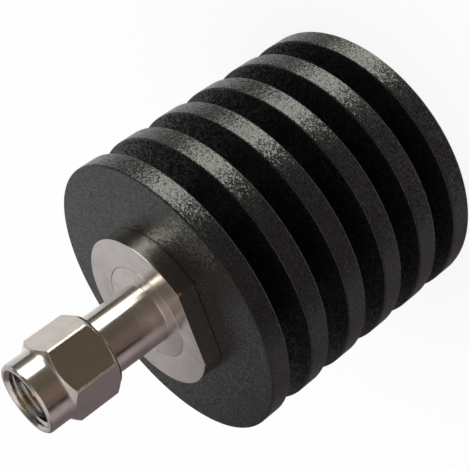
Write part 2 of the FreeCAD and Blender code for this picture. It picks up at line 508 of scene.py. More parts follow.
class SkySheet(NodeSheet):
    """The nodes of the studio's light."""

    def __init__(self, world: bpy.types.World) -> None:
        """Starts an empty sky that reads the direction of the ray.

        Args:
            world: The world that the sky belongs to.
        """
        world.use_nodes = True
        self.tree = world.node_tree
        self.tree.nodes.clear()
        self.place = self.add("ShaderNodeTexCoord").outputs["Generated"]

    def background(self, colour: object, strength: float) -> Socket:
        """Adds one background.

        Args:
            colour: A socket or a colour.
            strength: Factor on the colour.

        Returns:
            Its light.
        """
        node = self.add("ShaderNodeBackground")
        self.feed(node.inputs["Color"], colour if isinstance(colour, Socket) else (*colour, 1.0))
        node.inputs["Strength"].default_value = strength
        return node.outputs[0]

    def choose(self, amount: Socket, first: Socket, second: Socket) -> Socket:
        """Takes the second light where the amount is 1.

        Args:
            amount: Share of the second light.
            first: The first light.
            second: The second light.

        Returns:
            The mixed light.
        """
        node = self.add("ShaderNodeMixShader")
        for socket, source in zip(node.inputs, (amount, first, second)):
            self.feed(socket, source)
        return node.outputs[0]


@dataclass(frozen=True)
class BlastedAnodised:
    """Black anodised aluminium, bead blasted to an even, sparkling grain."""

    name: str = "blasted_black_anodised"
    pit: Colour = (0.002, 0.0024, 0.003)
    crest: Colour = (0.009, 0.009, 0.0095)
    grain: float = 0.125
    facet_tilt: float = 0.15
    ripple: float = 0.5
    ripple_depth: float = 0.006
    cloud: float = 9.0
    cloud_shade: float = 0.03
    matt: float = 0.32
    gloss: float = 0.22
    ior: float = 1.55

    def material(self) -> bpy.types.Material:
        """Builds the finish's material.

        Returns:
            The new material.
        """
        sheet = NodeSheet(self.name)
        ripple = sheet.noise(self.ripple, detail=2.0)
        cloud = sheet.noise(self.cloud, detail=2.0)
        grain, normal = sheet.facets(self.grain, self.facet_tilt, sheet.raise_surface(ripple, self.ripple_depth))
        colour = sheet.blend(sheet.range(grain, 0.0, 1.0, end=0.9), self.pit, self.crest)
        shade = sheet.range(cloud, 0.0, self.cloud_shade)
        roughness = sheet.sum("ADD", sheet.range(grain, self.matt, self.gloss, start=0.2, end=0.8), shade)
        sheet.dress(colour, roughness, normal, ior=self.ior)
        return sheet.material


@dataclass(frozen=True)
class WorkedMetal:
    """Bare or plated metal with the fine lines of its making, faint tarnish and handling marks."""

    name: str
    clean: Colour
    dull: Colour
    polish: float
    worn: float
    marks: Marks = Marks.TURNED
    line_width: float = 0.05
    line_depth: float = 0.0006
    dent_depth: float = 0.0015
    streaking: float = 0.0
    drawn_stretch: ClassVar[float] = 0.02
    lines_per_band: ClassVar[float] = 9.0
    band_shade: ClassVar[float] = 0.03
    film_size: ClassVar[float] = 1.7
    dent_size: ClassVar[float] = 0.9
    quarter_turn: ClassVar[float] = 0.25

    def material(self) -> bpy.types.Material:
        """Builds the finish's material.

        Returns:
            The new material.
        """
        sheet = NodeSheet(self.name)
        if self.marks is Marks.TURNED:
            along = sheet.lathe_place()
        else:
            along = sheet.scaled_place((1.0, 1.0, self.drawn_stretch))
        lines = sheet.noise(self.line_width, detail=3.0, roughness=0.6, place=along)
        bands = sheet.noise(self.line_width * self.lines_per_band, detail=1.0, place=along)
        film = sheet.noise(self.film_size, detail=3.0, roughness=0.6)
        dents = sheet.noise(self.dent_size, detail=2.0)
        colour = sheet.blend(sheet.range(film, 0.0, 1.0, start=0.35, end=0.75), self.clean, self.dull)
        wear = sheet.range(film, 0.0, self.worn - self.polish, start=0.35, end=0.8)
        fine = sheet.range(bands, 0.0, self.band_shade)
        roughness = sheet.sum("ADD", sheet.sum("ADD", wear, fine), self.polish)
        normal = sheet.raise_surface(dents, self.dent_depth)
        normal = sheet.raise_surface(lines, self.line_depth, normal)
        sheet.dress(colour, roughness, normal, metallic=1.0)
        if self.streaking > 0:
            sheet.shader.inputs["Anisotropic"].default_value = self.streaking
            sheet.shader.inputs["Anisotropic Rotation"].default_value = self.quarter_turn
            sheet.feed(sheet.shader.inputs["Tangent"], sheet.round_the_axis())
        return sheet.material


@dataclass(frozen=True)
class Mouldable:
    """A solid plastic, rubber or ceramic with a fine grain, a mottled tone and a soft gloss."""

    name: str
    light: Colour
    dark: Colour
    roughness: float
    grain: float = 0.12
    grain_depth: float = 0.004
    ior: float = 1.45
    see_in: float = 0.0
    cloud: ClassVar[float] = 1.4
    roughness_swing: ClassVar[float] = 0.06
    see_in_depth: ClassVar[float] = 0.3

    def material(self) -> bpy.types.Material:
        """Builds the finish's material.

        Returns:
            The new material.
        """
        sheet = NodeSheet(self.name)
        grain = sheet.noise(self.grain, detail=3.0)
        cloud = sheet.noise(self.cloud, detail=2.0)
        colour = sheet.blend(sheet.range(cloud, 0.0, 1.0), self.light, self.dark)
        smooth, rough = self.roughness - self.roughness_swing, self.roughness + self.roughness_swing
        roughness = sheet.range(grain, smooth, rough)
        sheet.dress(colour, roughness, sheet.raise_surface(grain, self.grain_depth), ior=self.ior)
        if self.see_in > 0:
            sheet.shader.inputs["Subsurface Weight"].default_value = self.see_in
            sheet.shader.inputs["Subsurface Scale"].default_value = self.see_in_depth * MM
        return sheet.material


BLACK_ANODISED = BlastedAnodised()
TURNED_NICKEL = WorkedMetal(
    "turned_nickel", (0.80, 0.755, 0.735), (0.74, 0.69, 0.665), 0.20, 0.26, line_depth=0.0003, dent_depth=0.001,
    streaking=0.93,
)
# Flange side: deeper turning lines, and a colour darker than the face's nickel that is painted shade, since the side
# mirrors the black fin.
COARSE_NICKEL_PAINTED_SHADE = WorkedMetal(
    "coarse_turned_nickel_painted_shade", (0.69, 0.66, 0.625), (0.62, 0.585, 0.54), 0.15, 0.22, line_depth=0.0006,
)
# Roundings of the nut: rough like wear, and brighter than the other nickel, which paints the light lines along the
# edges.
WORN_NICKEL_PAINTED_HIGHLIGHT = WorkedMetal("worn_nickel_painted_highlight", (0.94, 0.90, 0.86), (0.90, 0.86, 0.81), 0.56, 0.64)
# Near-black nickel on the rounding at the flange's foot: painted shade along the joint with the heat sink, in place of
# a shadow gap.
JOINT_SHADE_NICKEL = WorkedMetal("painted_joint_shade_nickel", (0.09, 0.085, 0.08), (0.05, 0.047, 0.044), 0.38, 0.52)
POLISHED_NICKEL = WorkedMetal("polished_nickel", (0.80, 0.765, 0.72), (0.72, 0.68, 0.63), 0.10, 0.16)
# Brighter nickel in the thread and bore: painted light in the hollow of the nut.
BORE_NICKEL_PAINTED_LIGHT = WorkedMetal("bore_nickel_painted_light", (0.88, 0.835, 0.79), (0.78, 0.735, 0.69), 0.12, 0.20, line_depth=0.0004)
DRAWN_NICKEL = WorkedMetal(
    "drawn_nickel", (0.80, 0.765, 0.72), (0.72, 0.68, 0.63), 0.08, 0.15, Marks.DRAWN, line_width=0.08,
    line_depth=0.0008, dent_depth=0.003,
)
GOLD = WorkedMetal("gold_plating", (0.94, 0.68, 0.29), (0.85, 0.58, 0.24), 0.14, 0.24)
BRONZE = WorkedMetal("spring_bronze", (0.66, 0.42, 0.24), (0.50, 0.31, 0.18), 0.22, 0.38)
COPPER = WorkedMetal("bare_copper", (0.90, 0.50, 0.36), (0.68, 0.35, 0.24), 0.20, 0.38)
FOIL = WorkedMetal("indium_foil", (0.72, 0.73, 0.75), (0.60, 0.61, 0.63), 0.34, 0.50, Marks.DRAWN)
SILVER = WorkedMetal("silver_terminal", (0.92, 0.91, 0.88), (0.78, 0.76, 0.70), 0.22, 0.36, Marks.DRAWN)
ZINC = WorkedMetal("zinc_steel", (0.62, 0.65, 0.68), (0.52, 0.54, 0.58), 0.22, 0.36)
RUBBER = Mouldable("silicone_ring", (0.34, 0.07, 0.045), (0.26, 0.05, 0.03), 0.48, ior=1.41)
DIELECTRIC = Mouldable("white_dielectric", (0.86, 0.85, 0.82), (0.80, 0.79, 0.75), 0.42, ior=1.38, see_in=0.25)
CERAMIC = Mouldable("white_ceramic", (0.84, 0.83, 0.79), (0.78, 0.76, 0.72), 0.40, grain=0.05, ior=1.7)
FILM = Mouldable("resistor_ink", (0.05, 0.045, 0.042), (0.025, 0.024, 0.024), 0.55, grain=0.04)


# ---------------------------------------------------------------- pieces


@dataclass
class HeatSink:
    """Six round fins on a core, turned from one bar, with the load chamber behind the thread."""

    fin_count: int = 6
    fin_radius: float = 15.2
    fin_thickness: float = 2.35
    fin_edge: float = 0.2
    core_radius: float = 8.0
    root_radius: float = 0.25
    thread_radius: float = 6.0
    thread_spare: float = 1.0
    mouth_chamfer: float = 0.4
    chamber_radius: float = 5.0
    chamber_floor: float = 9.25
    hole_radius: float = 0.8
    hole_depth: float = 3.2
    hole_reach: float = 3.32
    hole_angle_deg: float = 21.0
    hole_steps: int = 32

    def outline(self, top: float) -> list[Corner]:
        """The section from the middle of the rear face to the edge of the chamber's floor.

        Args:
            top: Height of the front fin's face.

        Returns:
            The section's corners.
        """
        pitch = (top - self.fin_thickness) / (self.fin_count - 1)
        corners = [Corner(0, 0)]
        for number in range(self.fin_count):
            low = number * pitch
            high = low + self.fin_thickness
            if number > 0:
                corners.append(Corner(self.core_radius, low, self.root_radius))
            corners.append(Corner(self.fin_radius, low, self.fin_edge))
            corners.append(Corner(self.fin_radius, high, self.fin_edge))
            if number < self.fin_count - 1:
                corners.append(Corner(self.core_radius, high, self.root_radius))
        thread_end = span("mounting_flange").low - self.thread_spare
        corners.append(Corner(self.thread_radius + self.mouth_chamfer, top))
        corners.append(Corner(self.thread_radius, top - self.mouth_chamfer))
        corners.append(Corner(self.thread_radius, thread_end))
        corners.append(Corner(self.chamber_radius, thread_end))
        corners.append(Corner(self.chamber_radius, self.chamber_floor))
        return corners

    def hole_rims(self, shape: BMesh) -> list[BMEdge]:
        """Draws the rims of the two screw holes on the chamber's floor.

        Args:
            shape: Mesh that receives them.

        Returns:
            Their edges.
        """
        rise = self.hole_reach * math.sin(math.radians(self.hole_angle_deg))
        across = self.hole_reach * math.cos(math.radians(self.hole_angle_deg))
        edges = []
        for side in (-1, 1):
            place = Matrix.Translation(Vector((side * across, rise, self.chamber_floor)) * MM)
            circle = bmesh.ops.create_circle(
                shape, cap_ends=False, radius=self.hole_radius * MM, segments=self.hole_steps, matrix=place,
            )
            edges.extend({edge for vert in circle["verts"] for edge in vert.link_edges})
        return edges

    def build(self) -> bpy.types.Object:
        """Turns the heat sink, closes the chamber's floor and sinks the screw holes.

        Returns:
            The new piece.
        """
        shape = bmesh.new()
        section(shape, self.outline(span("heat_sink").high), open_at_end=True)
        spun(shape)
        floor_edge = rim(shape, self.chamber_radius, self.chamber_floor)
        holes = self.hole_rims(shape)
        bmesh.ops.triangle_fill(shape, use_beauty=True, use_dissolve=False, edges=floor_edge + holes, normal=(0, 0, 1))
        sunk = bmesh.ops.extrude_edge_only(shape, edges=holes)["geom"]
        bottom = [part for part in sunk if isinstance(part, BMVert)]
        bmesh.ops.translate(shape, verts=bottom, vec=(0, 0, -self.hole_depth * MM))
        bmesh.ops.edgeloop_fill(shape, edges=[p for p in sunk if isinstance(p, BMEdge)])
        return finished(
            "sink_with_fins", shape, "heat_sink", Body.LOAD, [BLACK_ANODISED.material()],
        )


@dataclass
class MountingFlange:
    """Round flange with one spanner flat, on the threaded spigot that enters the heat sink."""

    radius: float = 8.3
    edge: float = 0.22
    edge_segments: int = 3
    flat_distance: float = 7.3
    spigot_radius: float = 5.98
    spigot_chamfer: float = 0.4
    neck_radius: float = 4.62
    seat_radius: float = 5.18
    seat_depth: float = 1.2
    seat_edge: float = 0.05
    sharp_deg: ClassVar[float] = 15.0
    edge_slack: ClassVar[float] = 0.1
    side_slack: ClassVar[float] = 0.2

    def outline(self, low: float, under: float, face: float) -> list[Corner]:
        """The section of flange and spigot.

        Args:
            low: Height of the spigot's end.
            under: Height of the flange's seat on the heat sink.
            face: Height of the flange's face.

        Returns:
            The section's corners.
        """
        return [
            Corner(self.neck_radius, low),
            Corner(self.spigot_radius - self.spigot_chamfer, low),
            Corner(self.spigot_radius, low + self.spigot_chamfer),
            Corner(self.spigot_radius, under),
            Corner(self.radius, under),
            Corner(self.radius, face),
            Corner(self.seat_radius, face, self.seat_edge),
            Corner(self.seat_radius, face - self.seat_depth),
            Corner(self.neck_radius, face - self.seat_depth),
        ]

    def outer_edges(self, shape: BMesh) -> list[BMEdge]:
        """Finds the edges round the flange's rims and down the sides of its flat.

        Args:
            shape: The flange.

        Returns:
            The sharp edges that lie outside.
        """
        just_inside = (self.flat_distance - self.edge_slack) * MM
        found = []
        for edge in shape.edges:
            if not edge.is_manifold or edge.calc_face_angle(0.0) < math.radians(self.sharp_deg):
                continue
            if min(vert.co.xy.length for vert in edge.verts) > just_inside:
                found.append(edge)
        return found

    def build(self) -> bpy.types.Object:
        """Turns the flange, cuts its flat and breaks its edges.

        Returns:
            The new piece.
        """
        shape = bmesh.new()
        whole = span("mounting_flange")
        section(shape, self.outline(whole.low, span("heat_sink").high, whole.high))
        spun(shape)
        cut_off(shape, Vector((0, -self.flat_distance, 0)), Vector((0, -1, 0)), fill=True)
        bmesh.ops.bevel(
            shape, geom=self.outer_edges(shape), offset=self.edge * MM, offset_type="OFFSET", affect="EDGES",
            segments=self.edge_segments, profile=0.5, clamp_overlap=True, material=-1,
        )
        self.number_side(shape, span("heat_sink").high + self.edge)
        return finished(
            "flange_with_flat", shape, "mounting_flange", Body.LOAD,
            [TURNED_NICKEL.material(), COARSE_NICKEL_PAINTED_SHADE.material(), JOINT_SHADE_NICKEL.material()],
        )

    def number_side(self, shape: BMesh, foot: float) -> None:
        """Numbers the finish of the flange's side, with coarser lines and a darker colour that is painted shade, and
        the near-black nickel of the rounding at its foot, which is painted shade along the joint.

        Args:
            shape: The flange.
            foot: Height up to which the rounding at the foot reaches.
        """
        shape.normal_update()
        for face in shape.faces:
            middle = face.calc_center_median()
            if middle.xy.length < (self.flat_distance - self.side_slack) * MM:
                continue
            if abs(face.normal.z) < UPRIGHT:
                # The side takes the nickel whose darker colour is painted shade.
                face.material_index = FlangeFinish.SIDE
            elif middle.z < foot * MM:
                # The rounding at the foot takes the near-black nickel of the painted joint shade.
                face.material_index = FlangeFinish.FOOT_SHADE


@dataclass
class PlugShell:
    """Outer conductor of the plug, turned as one piece from the neck to the contact sleeve."""

    neck_radius: float = 4.6
    disc_radius: float = 5.15
    disc_thickness: float = 1.2
    barrel_radius: float = 3.2
    barrel_length: float = 6.4
    seat_radius: float = 2.75
    seat_length: float = 2.4
    groove_radius: float = 2.3
    groove_start: float = 1.12
    groove_width: float = 0.89
    foot_radius: float = 2.45
    foot_length: float = 0.45
    sleeve_radius: float = 2.29
    line_radius: float = 2.05
    stop_radius: float = 2.5
    stop_setback: float = 0.4
    edge: float = 0.05
    barrel_foot: float = 0.1
    barrel_edge: float = 0.12
    sleeve_edge: float = 0.08
    line_edge: float = 0.03
    steps: int = 160

    def build(self) -> bpy.types.Object:
        """Turns the shell.

        Returns:
            The new piece.
        """
        whole = span("connector_shell")
        face = span("mounting_flange").high
        shoulder = face + self.barrel_length
        seat_end = shoulder + self.seat_length
        groove = shoulder + self.groove_start
        foot_end = seat_end + self.foot_length
        shape = bmesh.new()
        section(shape, [
            Corner(self.stop_radius, whole.low),
            Corner(self.neck_radius, whole.low, self.edge),
            Corner(self.neck_radius, face - self.disc_thickness),
            Corner(self.disc_radius, face - self.disc_thickness),
            Corner(self.disc_radius, face, self.edge),
            Corner(self.barrel_radius, face, self.barrel_foot),
            Corner(self.barrel_radius, shoulder, self.barrel_edge),
            Corner(self.seat_radius, shoulder),
            Corner(self.seat_radius, groove),
            Corner(self.groove_radius, groove),
            Corner(self.groove_radius, groove + self.groove_width),
            Corner(self.seat_radius, groove + self.groove_width),
            Corner(self.seat_radius, seat_end, self.edge),
            Corner(self.foot_radius, seat_end),
            Corner(self.foot_radius, foot_end, self.edge),
            Corner(self.sleeve_radius, foot_end),
            Corner(self.sleeve_radius, whole.high, self.sleeve_edge),
            Corner(self.line_radius, whole.high, self.line_edge),
            Corner(self.line_radius, face - self.stop_setback),
            Corner(self.stop_radius, face - self.stop_setback),
        ])
        spun(shape, self.steps)
        return finished(
            "plug_outer_conductor", shape, "connector_shell", Body.LOAD, [TURNED_NICKEL.material()],
        )


@dataclass
class CouplingNut:
    """Hexagon nut with a chamfer at each end, a round collar and a real inside thread."""

    sides: int = 6
    across_flats: float = 8.0
    turn_deg: float = 34.0
    face_inset: float = 0.05
    hexagon_length: float = 5.65
    rear_chamfer_deg: float = 40.0
    rear_land: float = 0.2
    rear_taper: float = 0.05
    front_chamfer_deg: float = 36.0
    blank_radius: float = 5.0
    collar_radius: float = 3.8
    collar_fillet: float = 0.3
    collar_edge: float = 0.2
    collar_break: float = 0.06
    corner_edge: float = 0.2
    arc_edge: float = 0.07
    land_edge: float = 0.02
    rear_edge: float = 0.03
    lip_radius: float = 2.8
    lip_edge: float = 0.15
    groove_start: float = 1.1
    groove_radius: float = 3.15
    groove_width: float = 0.59
    land_radius: float = 2.95
    relief_radius: float = 3.25
    relief_length: float = 1.2
    thread_length: float = 4.4
    crest_radius: float = 2.79
    root_radius: float = 3.17
    threads_per_inch: float = 36.0
    mouth_radius: float = 3.3
    inch: ClassVar[float] = 25.4
    thread_lead: ClassVar[float] = 1.25
    spare_turns: ClassVar[int] = 3
    beside_collar: ClassVar[float] = 0.1
    least_slope: ClassVar[float] = 0.1
    arc_slope: ClassVar[float] = 0.3
    slack: ClassVar[float] = 0.01
    level_slack: ClassVar[float] = 1e-4

    def blank(self, base: float, mouth: float) -> list[Corner]:
        """The section of the nut before its flats are cut, open where the thread goes.

        Args:
            base: Height of the nut's rear face.
            mouth: Height of its front face.

        Returns:
            The section's corners.
        """
        face_radius = self.across_flats / 2 - self.face_inset
        cone_end = base + self.hexagon_length
        rear_rise = (self.blank_radius - face_radius) * math.tan(math.radians(self.rear_chamfer_deg))
        front_drop = (self.blank_radius - self.collar_radius) * math.tan(math.radians(self.front_chamfer_deg))
        groove = base + self.groove_start
        thread_base = mouth - self.thread_length
        relief = thread_base - self.relief_length
        return [
            Corner(self.collar_radius - self.collar_edge, mouth),
            Corner(self.collar_radius, mouth - self.collar_edge, self.collar_break),
            Corner(self.collar_radius, cone_end, self.collar_fillet),
            Corner(self.blank_radius, cone_end - front_drop),
            Corner(self.blank_radius, base + self.rear_land + rear_rise),
            Corner(face_radius, base + self.rear_land, self.land_edge),
            Corner(face_radius - self.rear_taper, base, self.rear_edge),
            Corner(self.lip_radius + self.lip_edge, base),
            Corner(self.lip_radius, base + self.lip_edge),
            Corner(self.lip_radius, groove),
            Corner(self.groove_radius, groove),
            Corner(self.groove_radius, groove + self.groove_width),
            Corner(self.land_radius, groove + self.groove_width),
            Corner(self.land_radius, relief),
            Corner(self.relief_radius, relief),
            Corner(self.relief_radius, thread_base),
        ]

    def cut_flats(self, shape: BMesh) -> None:
        """Cuts the flats, rounds their edges and numbers the finishes of the outside.

        Args:
            shape: The turned blank.
        """
        distance = self.across_flats / 2
        half_side = 180 / self.sides
        for number in range(self.sides):
            angle = math.radians(half_side + 2 * half_side * number)
            outward = Vector((math.cos(angle), math.sin(angle), 0))
            cut_off(shape, outward * distance, outward, fill=True)
        shape.normal_update()
        beside = (self.collar_radius + self.beside_collar) * MM
        for face in shape.faces:
            if abs(face.normal.z) < UPRIGHT and face.calc_center_median().xy.length > beside and len(face.verts) > 4:
                face.material_index = NutFinish.FLAT
        corners = [e for e in shape.edges if len(e.link_faces) == 2 and all(f.material_index for f in e.link_faces)]
        self.round_edges(shape, corners, self.corner_edge)
        shape.normal_update()
        arcs = []
        for edge in shape.edges:
            slopes = sorted(abs(face.normal.z) for face in edge.link_faces)
            outside = min(vert.co.xy.length for vert in edge.verts) > beside
            if outside and len(slopes) == 2 and slopes[0] < UPRIGHT and slopes[1] > self.arc_slope:
                arcs.append(edge)
        self.round_edges(shape, arcs, self.arc_edge)
        shape.normal_update()
        for face in shape.faces:
            if face.normal.z < -self.least_slope and face.calc_center_median().xy.length > beside:
                face.material_index = NutFinish.REAR_CONE

    def round_edges(self, shape: BMesh, edges: Sequence[BMEdge], size: float) -> None:
        """Rounds some edges of the nut and numbers the roundings' finish: rougher nickel for wear, with a brighter
        colour that is a painted highlight.

        Args:
            shape: The nut.
            edges: The edges to round.
            size: Size of the rounding in millimetres.
        """
        rounded = bmesh.ops.bevel(
            shape, geom=list(edges), offset=size * MM, offset_type="OFFSET", affect="EDGES",
            segments=ROUNDING_SEGMENTS, profile=0.5, clamp_overlap=True, material=-1,
        )
        for face in rounded["faces"]:
            face.material_index = NutFinish.WORN_EDGE_HIGHLIGHT

    def cut_thread(self, shape: BMesh, mouth: float) -> None:
        """Winds the thread's form up the bore and joins it to the nut at both ends.

        Args:
            shape: The nut without its threaded wall.
            mouth: Height of the nut's front face.
        """
        pitch = self.inch / self.threads_per_inch
        base = mouth - self.thread_length
        # Widths of the crest, of each 60 degree flank and of the root add up to one pitch.
        crest = pitch / 4
        flank = pitch * 5 / 16
        root = pitch / 8
        first = base - self.thread_lead * pitch
        turns = math.ceil(self.thread_length / pitch) + self.spare_turns
        steps = STEPS // 2
        form = bmesh.new()
        outline = [
            (self.crest_radius, 0.0),
            (self.crest_radius, crest),
            (self.root_radius, crest + flank),
            (self.root_radius, crest + flank + root),
            (self.crest_radius, pitch),
        ]
        chain = [form.verts.new((radius * MM, 0, (first + rise) * MM)) for radius, rise in outline]
        edges = [form.edges.new(pair) for pair in zip(chain, chain[1:])]
        bmesh.ops.subdivide_edges(form, edges=edges, cuts=2)
        bmesh.ops.spin(
            form, geom=form.verts[:] + form.edges[:], cent=(0, 0, 0), axis=(0, 0, 1),
            dvec=(0, 0, pitch / steps * MM), angle=math.tau * turns, steps=steps * turns,
            use_merge=False, use_normal_flip=False, use_duplicate=False,
        )
        bmesh.ops.remove_doubles(form, verts=form.verts[:], dist=MERGE_DISTANCE)
        cut_off(form, Vector((0, 0, base)), Vector((0, 0, -1)), fill=False)
        cut_off(form, Vector((0, 0, mouth)), Vector((0, 0, 1)), fill=False)
        for vert in form.verts:
            cone = self.mouth_radius * MM - (mouth * MM - vert.co.z)
            reach = vert.co.xy.length
            if reach < cone:
                vert.co.xy *= cone / reach
        wound = bpy.data.meshes.new("wound_thread")
        form.to_mesh(wound)
        form.free()
        shape.from_mesh(wound)
        bpy.data.meshes.remove(wound)
        for height in (base, mouth):
            level = [
                edge for edge in shape.edges
                if edge.is_boundary and all(abs(vert.co.z / MM - height) < self.level_slack for vert in edge.verts)
            ]
            bmesh.ops.triangle_fill(shape, use_beauty=True, use_dissolve=False, edges=level, normal=(0, 0, 1))

    def build(self) -> bpy.types.Object:
        """Turns the blank, cuts flats and thread, and turns the nut to the photograph's angle.

        Returns:
            The new piece.
        """
        whole = span("coupling_nut")
        shape = bmesh.new()
        section(shape, self.blank(whole.low, whole.high), open_at_end=True)
        spun(shape)
        self.cut_flats(shape)
        self.cut_thread(shape, whole.high)
        for face in shape.faces:
            if face.calc_center_median().xy.length < (self.mouth_radius + self.slack) * MM:
                # The bore takes the brighter nickel, which is painted light in the hollow.
                face.material_index = NutFinish.BORE
        turn = Matrix.Rotation(math.radians(self.turn_deg), 3, "Z")
        bmesh.ops.rotate(shape, verts=shape.verts[:], cent=(0, 0, 0), matrix=turn)
        return finished(
            "hexagon_nut_threaded", shape, "coupling_nut", Body.NUT,
            [
                finish.material()
                for finish in (TURNED_NICKEL, DRAWN_NICKEL, POLISHED_NICKEL, BORE_NICKEL_PAINTED_LIGHT, WORN_NICKEL_PAINTED_HIGHLIGHT)
            ],
        )


@dataclass
class RetainingRing:
    """Open spring ring of square wire that carries the nut."""

    inner_radius: float = 2.35
    outer_radius: float = 3.1
    opening: float = 0.9
    edge: float = 0.08
    steps: int = 150

    def build(self) -> bpy.types.Object:
        """Turns the ring, except for its opening, and closes its two ends.

        Returns:
            The new piece.
        """
        whole = span("retaining_ring")
        half_gap = math.asin(self.opening / (self.inner_radius + self.outer_radius))
        shape = bmesh.new()
        section(shape, ring_section(self.inner_radius, self.outer_radius, whole, self.edge))
        spun(shape, self.steps, math.tau - 2 * half_gap, math.pi / 2 + half_gap)
        bmesh.ops.holes_fill(shape, edges=[e for e in shape.edges if e.is_boundary], sides=0)
        return finished(
            "open_spring_ring", shape, "retaining_ring", Body.RING, [BRONZE.material()],
        )


@dataclass
class Gasket:
    """Flat sealing ring round the foot of the contact sleeve."""

    inner_radius: float = 2.47
    outer_radius: float = 2.85
    edge: float = 0.1
    steps: int = 128

    def build(self) -> bpy.types.Object:
        """Turns the ring with soft edges.

        Returns:
            The new piece.
        """
        whole = span("gasket")
        shape = bmesh.new()
        section(shape, ring_section(self.inner_radius, self.outer_radius, whole, self.edge))
        spun(shape, self.steps)
        return finished("sealing_ring", shape, "gasket", Body.LOAD, [RUBBER.material()])


@dataclass
class FrontInsulator:
    """Dielectric of the plug, held by a rear flange and flush with the sleeve's end."""

    bore_radius: float = 0.635
    stop_radius: float = 2.48
    radius: float = 2.03
    stop_thickness: float = 1.0
    edge: float = 0.05
    steps: int = 96

    def build(self) -> bpy.types.Object:
        """Turns the insulator.

        Returns:
            The new piece.
        """
        whole = span("front_insulator")
        stop = whole.low + self.stop_thickness
        shape = bmesh.new()
        section(shape, [
            Corner(self.bore_radius, whole.low),
            Corner(self.stop_radius, whole.low, self.edge),
            Corner(self.stop_radius, stop, self.edge),
            Corner(self.radius, stop),
            Corner(self.radius, whole.high, self.edge),
            Corner(self.bore_radius, whole.high),
        ])
        spun(shape, self.steps)
        return finished(
            "plug_dielectric", shape, "front_insulator", Body.LOAD, [DIELECTRIC.material()],
        )


@dataclass
class CentreContact:
    """Gold-plated pin with a rounded point, and the tail that plugs into the inner conductor."""

    tail_radius: float = 0.4
    tail_length: float = 1.6
    body_radius: float = 0.635
    pin_radius: float = 0.455
    point_length: float = 0.4
    point_radius: float = 0.2
    tail_edge: float = 0.1
    body_edge: float = 0.03
    pin_edge: float = 0.2
    point_edge: float = 0.12
    steps: int = 64

    def build(self) -> bpy.types.Object:
        """Turns the contact.

        Returns:
            The new piece.
        """
        whole = span("centre_contact")
        shoulder = whole.low + self.tail_length
        plane = span("front_insulator").high
        shape = bmesh.new()
        section(shape, [
            Corner(0, whole.low),
            Corner(self.tail_radius, whole.low, self.tail_edge),
            Corner(self.tail_radius, shoulder),
            Corner(self.body_radius, shoulder),
            Corner(self.body_radius, plane, self.body_edge),
            Corner(self.pin_radius, plane),
            Corner(self.pin_radius, whole.high - self.point_length, self.pin_edge),
            Corner(self.point_radius, whole.high, self.point_edge),
            Corner(0, whole.high),
        ])
        spun(shape, self.steps)
        return finished("plug_pin", shape, "centre_contact", Body.LOAD, [GOLD.material()])


@dataclass
class InnerLoad:
    """What the closed housing holds. Its solids have the right shapes, so they only get their finishes."""

    def build(self) -> None:
        """Dresses every carried-over node."""
        nickel = TURNED_NICKEL.material()
        gold = GOLD.material()
        white = DIELECTRIC.material()
        ceramic = CERAMIC.material()
        silver = SILVER.material()
        zinc = ZINC.material()
        finishes = {
            "line_bush": nickel,
            "rear_insulator": white,
            "inner_conductor": gold,
            "thermal_shim": FOIL.material(),
            "thermal_carrier": COPPER.material(),
            "screw_washers": zinc,
            "carrier_screws": zinc,
            "resistor_substrate": ceramic,
            "resistor_film": FILM.material(),
            "resistor_terminals": silver,
            "resistor_tab": silver,
            "resistor_cover": ceramic,
        }
        for node, material in finishes.items():
            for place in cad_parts[node].material_slots:
                place.material = material
            log.info("%s: dressed as %s", node, material.name)


# ---------------------------------------------------------------- studio


class Band(NamedTuple):
    """One stop of the light round the studio: compass angle in degrees and brightness."""

    angle: float
    light: Colour


class Belt(NamedTuple):
    """One belt of the studio's light: the height on the unit sphere where it starts, and its stops."""

    start: float
    bands: tuple[Band, ...]


